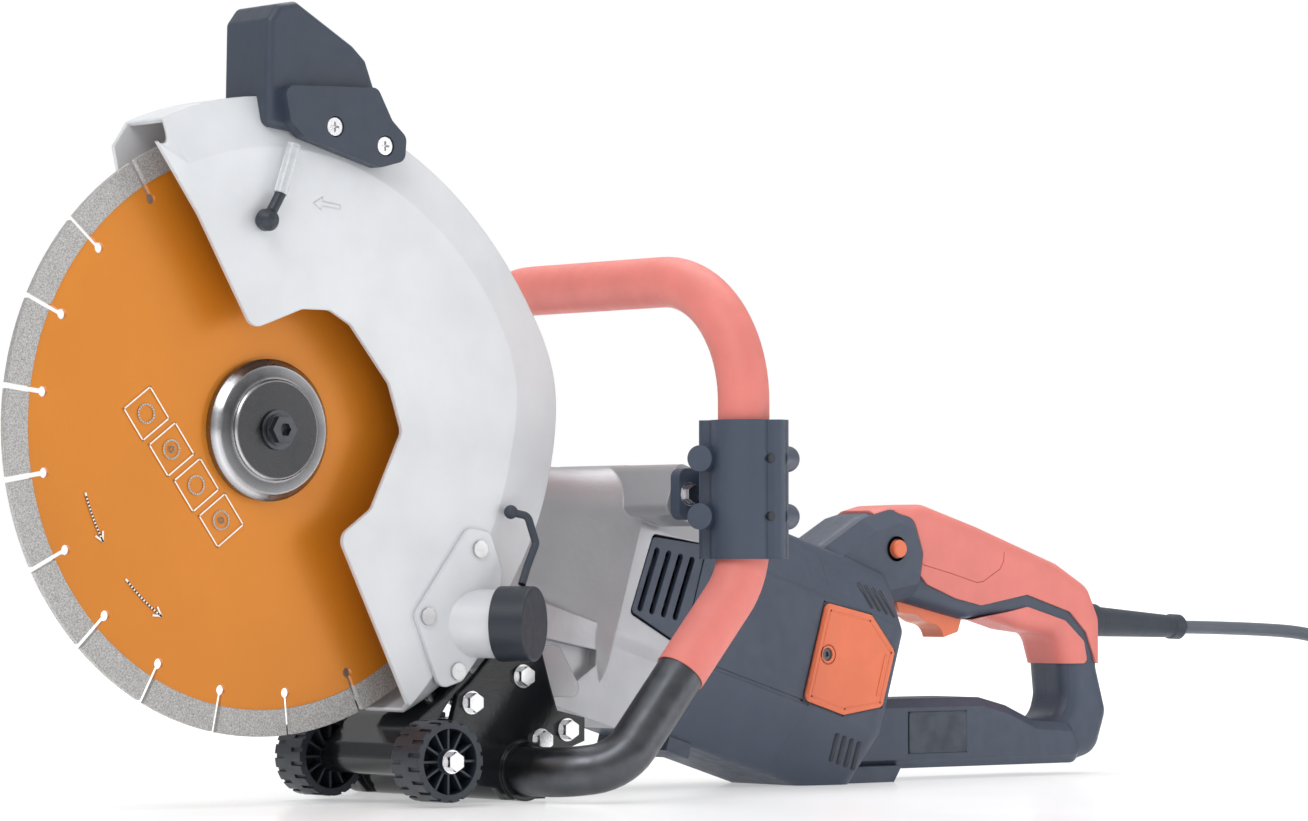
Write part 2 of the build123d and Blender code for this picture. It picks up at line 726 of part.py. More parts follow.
# Deflector block on top of the guard, which carries the water hose.
GRIP_SIDE = [(-15, 150), (-14, 203), (-8, 211), (3, 213), (38, 193), (46, 186), (57, 158),
             (64, 140)]
GRIP_FLANGE = [(-9, 170), (-5, 152), (3, 145), (24, 139), (50, 132), (65, 136), (66, 148),
               (57, 156), (48, 172)]
GRIP_SCREWS = [(22, 151), (53, 143)]
with BuildPart() as guard_grip:
    with BuildSketch(side(15)):
        with BuildLine():
            FilletPolyline(*GRIP_SIDE, radius=4, close=True)
        make_face()
    extrude(amount=39)
    rims = guard_grip.faces().sort_by(Axis.Y)
    fillet(rims[0].edges() + rims[-1].edges(), 3.5)
    add(guard_block(-0.3, GUARD_FRONT), mode=Mode.SUBTRACT)
    with BuildSketch(side(GUARD_NEAR - 0.3)):
        with BuildLine():
            FilletPolyline(*GRIP_FLANGE, radius=5, close=True)
        make_face()
    extrude(amount=8)
    with BuildSketch(side(-26)):
        with Locations(*GRIP_SCREWS):
            Circle(5.2)
    extrude(amount=10, mode=Mode.SUBTRACT)
keep(guard_grip, "guard_grip")

with BuildPart() as guard_grip_screws:
    with BuildSketch(side(-26)):
        with Locations(*GRIP_SCREWS):
            Circle(4.6)
    extrude(amount=3.6)
    with BuildSketch(side(-29.6)):
        with Locations(*GRIP_SCREWS):
            Rectangle(5, 1)
            Rectangle(1, 5)
    extrude(amount=-1.6, mode=Mode.SUBTRACT)
keep(guard_grip_screws, "guard_grip_screws")

HOSE_START, HOSE_END = (-9.2, -27, 116.2), (-1, -27, 141)
with BuildPart() as hose_elbow:
    add(turned([(0, -33), (3.4, -32.2), (5.6, -29), (5.6, -25), (4, -22.1), (0, -22.1)],
               spun(0, -17, 103), y_axis(-17, 103)).part)
    barb = Vector(*HOSE_START) - Vector(-17, -27, 103)
    with BuildSketch(Plane(origin=at(-17, -27, 103), z_dir=barb)):
        Circle(2.8)
    extrude(amount=barb.length)
keep(hose_elbow, "hose_elbow")

with BuildPart() as water_hose:
    run = Vector(*HOSE_END) - Vector(*HOSE_START)
    with BuildSketch(Plane(origin=at(*HOSE_START), z_dir=run)):
        Circle(3.4)
    extrude(amount=run.length)
    add(guard_grip.part, mode=Mode.SUBTRACT)
    add(hose_elbow.part, mode=Mode.SUBTRACT)
keep(water_hose, "water_hose")

# ---------------------------------------------------------------- bolts
BOLT_SHANK_R = 3.0
PAD_FACE = -33.0                    # clamp pads stand on the casting here
PAD_CENTRE = (250, -30)
PAD_BOLT = (243, -30)
CHEEK_FACE, CHEEK_T = -24.0, 4.0
LUG_RIGHT = 95.0                    # right face of the casting's lower lug
CHEEK_BOLTS = [(145, -124), (157, -157), (174, -152), (112, -137)]


def hex_bolt(seat, shank):
    """Flanged hex bolt standing on the seat plane, its shank going down into it."""
    with BuildPart() as bolt:
        with BuildSketch(seat):
            Circle(6)
        extrude(amount=1)
        with BuildSketch(seat.offset(1)):
            RegularPolygon(4.3, 6, major_radius=False)
        extrude(amount=4)
        with BuildSketch(seat):
            Circle(BOLT_SHANK_R)
        extrude(amount=-shank)
    return bolt.part


with BuildPart() as hex_bolts:
    for x, z in CHEEK_BOLTS:
        add(hex_bolt(Plane(origin=at(x, CHEEK_FACE, z), z_dir=(0, -1, 0)), 14))
        if x > 120:
            add(hex_bolt(Plane(origin=at(x, LUG_RIGHT + CHEEK_T, z), z_dir=(0, 1, 0)), 14))
    for y, facing in ((PAD_FACE - 7, -1), (2 * LOOP_MID - PAD_FACE + 7, 1)):
        seat = Plane(origin=at(PAD_BOLT[0], y, PAD_BOLT[1]), z_dir=(0, facing, 0))
        add(hex_bolt(seat, 20))
    for y in (-8.0, 10.0):
        out = Vector(*polar(1, -54), 0)
        seat = Plane(origin=at(out.X * 168.6, y, out.Y * 168.6), z_dir=(out.X, 0, out.Y))
        add(hex_bolt(seat, 6))
    for y, facing in ((AXLE_LEFT, -1), (AXLE_RIGHT, 1)):
        add(hex_bolt(Plane(origin=at(WHEEL_X, y, WHEEL_Z), z_dir=(0, facing, 0)), 12))
keep(hex_bolts, "hex_bolts")

# ---------------------------------------------------------------- gearbox casting
WIDE_START = 245.0                  # the casting has its full width from here on
WINDOW = [(251, -20), (254, 25), (300, 32), (300, -30), (282, -26)]
with BuildPart() as gearbox_casting:
    with BuildSketch(side(74)):
        Circle(54)
    extrude(amount=74 - GUARD_FAR)
    with BuildSketch(side(88)):
        Circle(24)
    extrude(amount=14)
    with BuildSketch(motor_cross(40)):
        RectangleRounded(62, 88, 24)
    extrude(amount=150)
    with BuildSketch(motor_cross(190)):
        RectangleRounded(62, 88, 24)
    with BuildSketch(motor_cross(222)):
        RectangleRounded(86, 104, 28)
    with BuildSketch(motor_cross(WIDE_START)):
        with Locations((0, -5)):
            RectangleRounded(104, 131, 24)
    loft()
    with BuildSketch(motor_cross(WIDE_START)):
        add(body_profile())
    extrude(amount=MOTOR_FRONT - WIDE_START)
    with BuildSketch(motor_side(98)):
        with BuildLine():
            Polyline((186, -30), (192, -72), (205, -80), (262, -80), (284, -66), (284, -30),
                     close=True)
        make_face()
    extrude(amount=96)
    with BuildSketch(motor_side(2)):
        with BuildLine():
            Polyline((200, -48), (238, -44), (240, -52), (222, -73), (214, -72), close=True)
        make_face()
    extrude(amount=-6, mode=Mode.SUBTRACT)
    with BuildSketch(motor_side(2 * LOOP_MID - PAD_FACE)):
        with BuildLine():
            FilletPolyline((234, 30), (262, 30), (262, 58), (234, 58), radius=5, close=True)
        make_face()
    extrude(amount=2 * (LOOP_MID - PAD_FACE))
    with BuildSketch(side(95)):
        with BuildLine():
            FilletPolyline((134, -112), (172, -108), (190, -136), (140, -134), radius=5, close=True)
        make_face()
    extrude(amount=115)
    with BuildSketch(side(GUARD_FAR + 0.01)):
        Circle(182)
    extrude(amount=80, mode=Mode.SUBTRACT)
    # hollow inside: gear chamber, shaft tunnel, fan chamber
    with BuildSketch(side(66)):
        Circle(49)
    extrude(amount=42, mode=Mode.SUBTRACT)
    with BuildSketch(side(GUARD_FAR + 15)):
        Circle(30)
    extrude(amount=10)
    with BuildSketch(side(GUARD_FAR + 16)):
        Circle(23.5)
    extrude(amount=30, mode=Mode.SUBTRACT)
    with BuildSketch(side(79)):
        Circle(17.5)
    extrude(amount=15, mode=Mode.SUBTRACT)
    with BuildSketch(side(81)):
        Circle(9)
    extrude(amount=15, mode=Mode.SUBTRACT)
    with BuildSketch(motor_cross(30)):
        Circle(17.5)
    extrude(amount=200, mode=Mode.SUBTRACT)
    with BuildSketch(motor_cross(90)):
        Circle(25)
    extrude(amount=WIDE_START + 5 - 90, mode=Mode.SUBTRACT)
    with BuildSketch(motor_cross(WIDE_START + 4)):
        Circle(48.5)
    extrude(amount=FAN_U[1] + 1 - WIDE_START - 4, mode=Mode.SUBTRACT)
    with BuildSketch(motor_cross(FAN_U[1])):
        add(body_profile(3))
    extrude(amount=MOTOR_FRONT - FAN_U[1] + 1, mode=Mode.SUBTRACT)
    for start, depth in ((0, 12), (2 * MID + 12, 12)):
        with BuildSketch(motor_side(start if start else depth)):
            with BuildLine():
                FilletPolyline(*WINDOW, radius=3, close=True)
            make_face()
        extrude(amount=40 if not start else 24, mode=Mode.SUBTRACT)
    add(hex_bolts.part, mode=Mode.SUBTRACT)
keep(gearbox_casting, "gearbox_casting")

bearing_cover = turned([(13.5, 14), (33, 14), (33, GUARD_FAR), (23.4, GUARD_FAR), (23.4, 21),
                        (16.5, 21), (16.5, 14.01)], spun(), y_axis())
keep(bearing_cover, "bearing_cover")


def vent_grille(sign, y):
    """Louvred insert in a casting window."""
    with BuildPart() as grille:
        seat = Plane(origin=at(0, y, 0), x_dir=AXIS, z_dir=(0, -sign, 0))
        with BuildSketch(seat):
            with BuildLine():
                FilletPolyline(*[(u, sign * v) for u, v in
                                 [(252, -18.5), (255, 23.5), (291.8, 30), (291.8, -26), (281.5, -24.3)]],
                               radius=2.5, close=True)
            make_face()
        extrude(amount=-3)
        with BuildSketch(seat):
            for slot in range(4):
                with Locations(Location((258.5 + 8.2 * slot, sign * (1 + 0.8 * slot), 0), -4 * sign)):
                    SlotOverall(36, 3.6, rotation=90)
        extrude(amount=-4, mode=Mode.SUBTRACT)
    return grille


for (sign, y), word in zip(both_sides(-1.5), ("left", "right")):
    keep(vent_grille(sign, y), f"vent_grille_{word}")

# ---------------------------------------------------------------- front handle
TUBE_Z = -172.5
LOOP = [(LEG_X, LOOP_MID, 82.5), (LEG_X, LEG_LEFT, 82.5), (LEG_X, LEG_LEFT, -72.5),
        (167, LEG_LEFT, -169), (146, LEG_LEFT + 18, TUBE_Z), (146, LOOP_MID, TUBE_Z)]
LOOP_RADII = [65, 45, 28, 28]
SLEEVE_END = (207, LEG_LEFT, -122.5)
TUBE_R, SLEEVE_R = 12.7, 13.4
TUBE_WALL = 2.0


def half_loop(points, radii, outer, inner):
    """Left half of the loop handle, swept as a ring section."""
    with BuildPart() as half:
        with BuildLine():
            FilletPolyline(*[at(*point) for point in points], radius=radii)
        with BuildSketch(Plane(origin=at(*points[0]), z_dir=(0, -1, 0))):
            Circle(outer)
            if inner:
                Circle(inner, mode=Mode.SUBTRACT)
        sweep()
    return half.part


LOOP_PLANE = Plane(origin=at(0, LOOP_MID, 0), z_dir=(0, 1, 0))
with BuildPart() as loop_tube:
    add(half_loop(LOOP, LOOP_RADII, TUBE_R, TUBE_R - TUBE_WALL))
    mirror(about=LOOP_PLANE)
keep(loop_tube, "loop_tube")
with BuildPart() as loop_sleeve:
    add(half_loop(LOOP[:3] + [SLEEVE_END], LOOP_RADII[:2], SLEEVE_R, TUBE_R))
    mirror(about=LOOP_PLANE)
keep(loop_sleeve, "loop_sleeve")

CLAMP_R, CLAMP_TOP, CLAMP_BOTTOM = 17.5, 8.0, -64.0
SCREW_AXIS = Vector(-0.88, -0.47, 0)
EAR_DIR = Vector(-0.47, 0.88, 0)
EAR = 17.5                          # screw axis from the tube axis
SCREW_Z = (-12.0, -42.0)
BOSS_R, BOSS_REACH = 6.8, 18.0


def clamp_plane(z):
    return Plane(origin=at(LEG_X, LEG_LEFT, z), x_dir=EAR_DIR, z_dir=(0, 0, 1))


def clamp_body():
    """Whole clamp on the left leg, before it is cut into its two halves."""
    with BuildPart() as body:
        with BuildSketch(clamp_plane(CLAMP_BOTTOM)):
            Circle(CLAMP_R)
            with Locations((EAR, 0), (-EAR, 0)):
                RectangleRounded(12, 14, 4)
        extrude(amount=CLAMP_TOP - CLAMP_BOTTOM)
        for z in SCREW_Z:
            for outward, ear in ((1, EAR), (-1, -EAR)):
                centre = at(LEG_X, LEG_LEFT, z) + EAR_DIR * ear
                with BuildSketch(Plane(origin=centre, z_dir=SCREW_AXIS * outward)):
                    Circle(BOSS_R)
                extrude(amount=BOSS_REACH)
    return body.part


def clamp_bore():
    with BuildPart() as bore:
        add(half_loop(LOOP[:3] + [SLEEVE_END], LOOP_RADII[:2], SLEEVE_R + 0.05, 0))
        for z in SCREW_Z:
            for outward, ear in ((1, EAR), (-1, -EAR)):
                centre = at(LEG_X, LEG_LEFT, z) + EAR_DIR * ear - SCREW_AXIS * outward * 16
                with BuildSketch(Plane(origin=centre, z_dir=SCREW_AXIS * outward)):
                    Circle(2.5)
                extrude(amount=13 + BOSS_REACH)
    return bore.part


SPLIT_PLANE = Plane(origin=at(LEG_X, LEG_LEFT, 0), z_dir=SCREW_AXIS)
with BuildPart() as clamp_outer_left:
    add(clamp_body())
    split(bisect_by=SPLIT_PLANE.offset(0.3), keep=Keep.TOP)
    add(clamp_bore(), mode=Mode.SUBTRACT)
keep(clamp_outer_left, "clamp_outer_left")
with BuildPart() as clamp_inner_left:
    add(clamp_body())
    with BuildSketch(side(PAD_FACE)):
        with Locations(PAD_CENTRE):
            RectangleRounded(27, 27, 5)
    extrude(amount=7)
    with BuildSketch(side(PAD_FACE - 2)):
        with Locations((257, -30)):
            RectangleRounded(12, 26, 4)
    extrude(amount=34)
    split(bisect_by=SPLIT_PLANE.offset(-0.3), keep=Keep.BOTTOM)
    add(clamp_bore(), mode=Mode.SUBTRACT)
    add(hex_bolts.part, mode=Mode.SUBTRACT)
keep(clamp_inner_left, "clamp_inner_left")
for word, half in (("outer", clamp_outer_left), ("inner", clamp_inner_left)):
    with BuildPart() as other:
        add(half.part)
        mirror(about=LOOP_PLANE, mode=Mode.REPLACE)
    keep(other, f"clamp_{word}_right")

with BuildPart() as clamp_screws:
    for z in SCREW_Z:
        for ear, outward in ((EAR, 1), (-EAR, -1)):
            nut_end = at(LEG_X, LEG_LEFT, z) + EAR_DIR * ear - SCREW_AXIS * outward * 6
            with BuildSketch(Plane(origin=nut_end, z_dir=SCREW_AXIS * outward)):
                Circle(2.45)
            extrude(amount=19)
    mirror(about=LOOP_PLANE)
keep(clamp_screws, "clamp_screws")

# ---------------------------------------------------------------- base bracket and rollers
AXLE_SLEEVE_R = 8.0
CHEEK = [(100, -178), (100, -146), (104, -132.5), (112, -126.5), (127, -111.5), (158, -112),
         (163, -128), (168, -142), (186, -146), (186, -158), (168, -164), (162, -174),
         (160, FLOOR + 1), (134, FLOOR + 1), (128, -181)]
with BuildPart() as base_bracket:
    with BuildSketch(side(116)):
        with Locations((146, TUBE_Z)):
            Circle(15.5)
    extrude(amount=142)
    with BuildSketch(side(41)):
        with Locations((WHEEL_X, WHEEL_Z)):
            Circle(AXLE_SLEEVE_R)
    extrude(amount=41 + 35)
    with BuildSketch(side(38)):
        with BuildLine():
            Polyline((74, -173), (76, -169), (134, -173), (134, -179), close=True)
        make_face()
        with BuildLine():
            Polyline((65, -164), (66, -157), polar(165.4, -60), polar(165.4, -54), polar(165.4, -47),
                     polar(168.6, -47), polar(168.6, -54), (92, -146), (72, -157), close=True)
        make_face()
    extrude(amount=60)
    with BuildSketch(side(CHEEK_FACE + CHEEK_T), side(LUG_RIGHT + CHEEK_T)):
        with BuildLine():
            Polyline(*CHEEK, close=True)
        make_face()
    extrude(amount=CHEEK_T)
    with BuildSketch(side(LUG_RIGHT)):
        with Locations((169, -154)):
            Rectangle(26, 12)
    extrude(amount=LUG_RIGHT - CHEEK_FACE - CHEEK_T)
    with BuildSketch(side(130)):
        with Locations((146, TUBE_Z)):
            Circle(TUBE_R + 0.02)
    extrude(amount=170, mode=Mode.SUBTRACT)
    with BuildSketch(side(60)):
        with Locations((WHEEL_X, WHEEL_Z)):
            Circle(AXLE_R + 0.02)
    extrude(amount=120, mode=Mode.SUBTRACT)
    add(hex_bolts.part, mode=Mode.SUBTRACT)
    add(guard_block(-0.05, GUARD_FRONT), mode=Mode.SUBTRACT)
    add(dust_port.part, mode=Mode.SUBTRACT)
keep(base_bracket, "base_bracket")

with BuildPart() as wheel_axle:
    with BuildSketch(side(AXLE_RIGHT)):
        with Locations((WHEEL_X, WHEEL_Z)):
            Circle(AXLE_R)
    extrude(amount=AXLE_RIGHT - AXLE_LEFT)
    add(hex_bolts.part, mode=Mode.SUBTRACT)
keep(wheel_axle, "wheel_axle")


def roller(y):
    """Guide roller with a grooved tread, thin spokes and a hub."""
    with BuildPart() as wheel:
        with BuildSketch(side(y + WHEEL_W / 2)):
            with Locations((WHEEL_X, WHEEL_Z)):
                Circle(WHEEL_R)
                Circle(WHEEL_R - 4, mode=Mode.SUBTRACT)
        extrude(amount=WHEEL_W)
        with BuildSketch(side(y + 1.5)):
            with Locations((WHEEL_X, WHEEL_Z)):
                Circle(WHEEL_R - 3)
        extrude(amount=3)
        with BuildSketch(side(y + WHEEL_W / 2 - 1.5)):
            with Locations((WHEEL_X, WHEEL_Z)):
                Circle(6.5)
                with PolarLocations(11, 12):
                    Rectangle(12, 1.2)
        extrude(amount=WHEEL_W - 3)
        with BuildSketch(side(y + WHEEL_W / 2)):
            with Locations((WHEEL_X, WHEEL_Z)):
                with PolarLocations(WHEEL_R, 18):
                    Rectangle(2.4, 2.2)
        extrude(amount=8, mode=Mode.SUBTRACT)
        with BuildSketch(side(y - WHEEL_W / 2 + 8)):
            with Locations((WHEEL_X, WHEEL_Z)):
                with PolarLocations(WHEEL_R, 18, start_angle=10):
                    Rectangle(2.4, 2.2)
        extrude(amount=8, mode=Mode.SUBTRACT)
        with BuildSketch(side(y + WHEEL_W)):
            with Locations((WHEEL_X, WHEEL_Z)):
                Circle(AXLE_R + 0.08)
        extrude(amount=2 * WHEEL_W, mode=Mode.SUBTRACT)
    return wheel


keep(roller(WHEEL_LEFT), "wheel_left")
keep(roller(WHEEL_RIGHT), "wheel_right")

# ---------------------------------------------------------------- mains lead
with BuildPart() as strain_relief:
    with BuildSketch(Plane(origin=RELIEF_START, x_dir=RELIEF_DIR, z_dir=(0, -1, 0))):
        with BuildLine():
            Polyline((0, 0), (0, RELIEF_R), (17, RELIEF_R), (27, 10.2), (28, 8.8), (90, 6.6),
                     (91, 7.4), (98, 7.4), (100, 6), (100, 0), close=True)
        make_face()
    revolve(axis=Axis(tuple(RELIEF_START), tuple(RELIEF_DIR)))
keep(strain_relief, "strain_relief")

# Route of the lead from the strain relief down to the floor, from the arbor.
ON_FLOOR = -ARBOR.Z + CORD_R
LEAD = [(700, 50, -103.9), (757, 50, -105), (817, 46, -109), (862, 32, -130), (888, 6, -162),
        (892, -30, ON_FLOOR), (872, -66, ON_FLOOR)]


def tangent_radii(points, share=0.45):
    """Largest comfortable bend at each inner point of a route."""
    radii = []
    for before, corner, after in zip(points, points[1:], points[2:]):
        arriving, leaving = Vector(*corner) - Vector(*before), Vector(*after) - Vector(*corner)
        half_turn = math.radians(arriving.get_angle(leaving)) / 2
        radii.append(share * min(arriving.length, leaving.length) / math.tan(half_turn))
    return radii


lead_radii = tangent_radii(LEAD)
print("lead bend radii, mm:", [round(radius) for radius in lead_radii])
with BuildPart() as cord_lead:
    with BuildLine() as lead_path:
        FilletPolyline(*[at(*point) for point in LEAD], radius=lead_radii)
    with BuildSketch(Plane(origin=at(*LEAD[0]), z_dir=Vector(*LEAD[1]) - Vector(*LEAD[0]))):
        Circle(CORD_R)
    sweep()
lead_length = sum(edge.length for edge in lead_path.edges())
print("lead tube:", round(cord_lead.part.volume), "section x length:",
      round(math.pi * CORD_R ** 2 * lead_length), "length", round(lead_length))
keep(cord_lead, "cord_lead")

COIL_MEAN_R = 44.0
COIL_HALF = 12.0
heading = Vector(LEAD[-1][0] - LEAD[-2][0], LEAD[-1][1] - LEAD[-2][1], 0).normalized()
coil_x = LEAD[-1][0] + heading.Y * (COIL_MEAN_R + 8)
coil_y = LEAD[-1][1] - heading.X * (COIL_MEAN_R + 8)
print("coil centre:", round(coil_x, 1), round(coil_y, 1))
with BuildPart() as cord_coil:
    with BuildSketch(Plane(origin=at(coil_x, coil_y, -ARBOR.Z))):
        Circle(COIL_MEAN_R + COIL_HALF)
        Circle(COIL_MEAN_R - COIL_HALF, mode=Mode.SUBTRACT)
    extrude(amount=2 * COIL_HALF)
keep(cord_coil, "cord_coil")

PLUG_START = at(coil_x - 25, coil_y - 22, -ARBOR.Z + 2 * COIL_HALF + 18.55)
with BuildPart() as plug:
    with BuildSketch(Plane(origin=PLUG_START, x_dir=(0, 1, 0), z_dir=(1, 0, 0))):
        with BuildLine():
            Polyline((0, 0), (0, 6), (18, 8), (26, 16.5), (32, 18.5), (52, 18.5), (52, 0), close=True)
        make_face()
    revolve(axis=Axis(tuple(PLUG_START), (0, 1, 0)))
    with BuildSketch(Plane(origin=PLUG_START + Vector(0, 50, 0), x_dir=(1, 0, 0), z_dir=(0, 1, 0))):
        with Locations((9.5, 0), (-9.5, 0)):
            Circle(2.4)
    extrude(amount=21)
keep(plug, "plug")

for piece in EXPORTS:
    export_step(piece, f"parts/{piece.label}.step")
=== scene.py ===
"""Looks of the concrete cut-off saw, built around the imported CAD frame. Lengths are in metres."""
import json
import math

import bmesh
import bpy
from mathutils import Matrix, Vector


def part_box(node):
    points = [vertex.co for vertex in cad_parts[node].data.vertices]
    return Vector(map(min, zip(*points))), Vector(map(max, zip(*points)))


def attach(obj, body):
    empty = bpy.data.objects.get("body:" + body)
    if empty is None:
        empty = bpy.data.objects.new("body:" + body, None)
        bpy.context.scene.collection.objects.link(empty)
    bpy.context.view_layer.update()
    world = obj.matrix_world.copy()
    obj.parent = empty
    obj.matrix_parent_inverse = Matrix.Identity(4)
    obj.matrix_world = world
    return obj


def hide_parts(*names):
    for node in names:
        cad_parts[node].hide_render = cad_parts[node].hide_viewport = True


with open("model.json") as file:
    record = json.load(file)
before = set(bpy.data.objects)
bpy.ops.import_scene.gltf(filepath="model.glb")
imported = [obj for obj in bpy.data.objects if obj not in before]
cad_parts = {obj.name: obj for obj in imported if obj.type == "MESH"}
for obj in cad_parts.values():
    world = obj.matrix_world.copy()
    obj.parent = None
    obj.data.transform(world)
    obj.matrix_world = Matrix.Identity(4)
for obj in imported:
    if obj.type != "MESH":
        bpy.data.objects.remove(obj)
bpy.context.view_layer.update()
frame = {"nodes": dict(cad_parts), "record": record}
MM = 0.001

# Middle of the blade, where the saw's own measurements start.
ARBOR = Vector((-0.2359, -0.045, 0.188))
MID_Y = 0.050                       # motor axis, sideways from the arbor
MOTOR_TILT = math.radians(17)


def at(x, y, z):
    """Point given in millimetres from the middle of the blade."""
    return ARBOR + Vector((x, y, z)) * MM


def on_motor(along, y, up):
    """Point given along and above the tilted motor axis, in millimetres."""
    x = along * math.cos(MOTOR_TILT) + up * math.sin(MOTOR_TILT)
    z = -along * math.sin(MOTOR_TILT) + up * math.cos(MOTOR_TILT)
    return at(x, y, z)


# ---------------------------------------------------------------- camera
camera = bpy.data.objects.new("camera", bpy.data.cameras.new("camera"))
bpy.context.scene.collection.objects.link(camera)
camera.location = at(-1437.3, -2044.4, -67.2)
camera.rotation_euler = (math.radians(91.773), 0, math.radians(-39.575))
camera.data.sensor_width = 36
camera.data.lens = 137.6
camera.data.clip_end = 60
bpy.context.scene.camera = camera


# ---------------------------------------------------------------- materials
class Surface:
    """A procedural material: one Principled shader and the nodes that feed it."""

    def __init__(self, name, colour, roughness, metallic=0.0, **sockets):
        self.material = bpy.data.materials.new(name)
        self.material.use_nodes = True
        self.tree = self.material.node_tree
        self.shader = self.tree.nodes["Principled BSDF"]
        self.colour = colour
        self.roughness = roughness
        self.shader.inputs["Base Color"].default_value = (*colour, 1)
        self.shader.inputs["Roughness"].default_value = roughness
        self.shader.inputs["Metallic"].default_value = metallic
        for socket, value in sockets.items():
            self.shader.inputs[socket.replace("_", " ")].default_value = value
        self.place = self.node("ShaderNodeTexCoord").outputs["Object"]
        self.normal = None

    def node(self, kind, **values):
        made = self.tree.nodes.new(kind)
        for key, value in values.items():
            setattr(made, key, value)
        return made

    def link(self, source, target):
        self.tree.links.new(source, target)

    def noise(self, scale, detail=4.0, stretch=(1, 1, 1), distortion=0.0):
        """Noise with features about 1/scale metres across, squeezed along each axis by stretch."""
        mapping = self.node("ShaderNodeMapping")
        mapping.inputs["Scale"].default_value = stretch
        self.link(self.place, mapping.inputs["Vector"])
        noise = self.node("ShaderNodeTexNoise")
        noise.inputs["Scale"].default_value = scale
        noise.inputs["Detail"].default_value = detail
        noise.inputs["Distortion"].default_value = distortion
        self.link(mapping.outputs["Vector"], noise.inputs["Vector"])
        return noise.outputs["Fac"]

    def spread(self, source, low, high, start=0.3, end=0.7):
        """Map a noise between start and end onto values from low to high."""
        ranged = self.node("ShaderNodeMapRange")
        for socket, value in (("From Min", start), ("From Max", end), ("To Min", low), ("To Max", high)):
            ranged.inputs[socket].default_value = value
        self.link(source, ranged.inputs["Value"])
        return ranged.outputs["Result"]

    def tint(self, source, low=0.88, high=1.1, start=0.3, end=0.7):
        """Vary the colour between a darker and a lighter version of itself."""
        ramp = self.node("ShaderNodeValToRGB")
        for element, place, share in ((0, start, low), (1, end, high)):
            stop = ramp.color_ramp.elements[element]
            stop.position = place
            stop.color = (*(min(1.0, part * share) for part in self.colour), 1)
        self.link(source, ramp.inputs["Fac"])
        self.link(ramp.outputs["Color"], self.shader.inputs["Base Color"])
        return self

    def rough(self, source, swing):
        """Vary the roughness either way by swing."""
        low, high = max(0.02, self.roughness - swing), self.roughness + swing
        self.link(self.spread(source, low, high), self.shader.inputs["Roughness"])
        return self

    def bump(self, source, depth):
        """Raise and sink the surface by depth, in metres."""
        bump = self.node("ShaderNodeBump")
        bump.inputs["Strength"].default_value = 1.0
        bump.inputs["Distance"].default_value = depth
        self.link(source, bump.inputs["Height"])
        if self.normal is not None:
            self.link(self.normal, bump.inputs["Normal"])
        self.normal = bump.outputs["Normal"]
        self.link(self.normal, self.shader.inputs["Normal"])
        return self

    def soft_edges(self, radius):
        """Round the look of sharp edges."""
        edge = self.node("ShaderNodeBevel", samples=4)
        edge.inputs["Radius"].default_value = radius
        self.normal = edge.outputs["Normal"]
        self.link(self.normal, self.shader.inputs["Normal"])
        return self


def moulded(name, colour, roughness, grain=0.00006, **sockets):
    """Moulded plastic or rubber with a fine spark texture."""
    surface = Surface(name, colour, roughness, **sockets).soft_edges(0.0006)
    surface.tint(surface.noise(45, 3), 0.94, 1.05)
    fine = surface.noise(1900, 2)
    surface.rough(surface.noise(160, 4), 0.07)
    return surface.bump(fine, grain).material


def machined(name, colour, roughness, stretch=(1, 14, 1), edge=0.0004):
    """Turned or ground metal with fine lines and a few smudges."""
    surface = Surface(name, colour, roughness, 1.0).soft_edges(edge)
    surface.tint(surface.noise(120, 5), 0.84, 1.08)
    surface.rough(surface.noise(90, 5, distortion=0.6), 0.08)
    return surface.bump(surface.noise(900, 3, stretch), 0.00002).material


def cast_metal(name, colour, roughness, metallic, grain):
    """Die-cast metal, blasted, with a fine pebbled skin and soft cloudiness."""
    surface = Surface(name, colour, roughness, metallic).soft_edges(0.0014)
    surface.tint(surface.noise(26, 6), 0.93, 1.05)
    surface.rough(surface.noise(70, 5), 0.06)
    surface.bump(surface.noise(320, 4), grain * 2)
    return surface.bump(surface.noise(1500, 2), grain).material


def blade_coat():
    """Orange coat over a tensioned steel disc, with a faint sweep of turning marks."""
    surface = Surface("blade_coat", (0.62, 0.205, 0.012), 0.36, 0.3, Coat_Weight=0.15,
                      Coat_Roughness=0.3)
    surface.tint(surface.noise(9, 4), 0.94, 1.06)
    rings = surface.node("ShaderNodeTexWave", wave_type="RINGS", rings_direction="Y")
    mapping = surface.node("ShaderNodeMapping")
    mapping.inputs["Location"].default_value = -ARBOR
    surface.link(surface.place, mapping.inputs["Vector"])
    surface.link(mapping.outputs["Vector"], rings.inputs["Vector"])
    rings.inputs["Scale"].default_value = 210
    rings.inputs["Distortion"].default_value = 0.4
    surface.rough(rings.outputs["Fac"], 0.05)
    return surface.bump(rings.outputs["Fac"], 0.000012).material


def diamond_grit():
    """Ground segment: metal with dark grit and scratches across it."""
    surface = Surface("diamond_grit", (0.47, 0.46, 0.45), 0.5, 0.55).soft_edges(0.0003)
    grit = surface.noise(1400, 6)
    surface.tint(grit, 0.62, 1.25, 0.35, 0.68)
    surface.rough(surface.noise(500, 3), 0.12)
    return surface.bump(grit, 0.0001).material


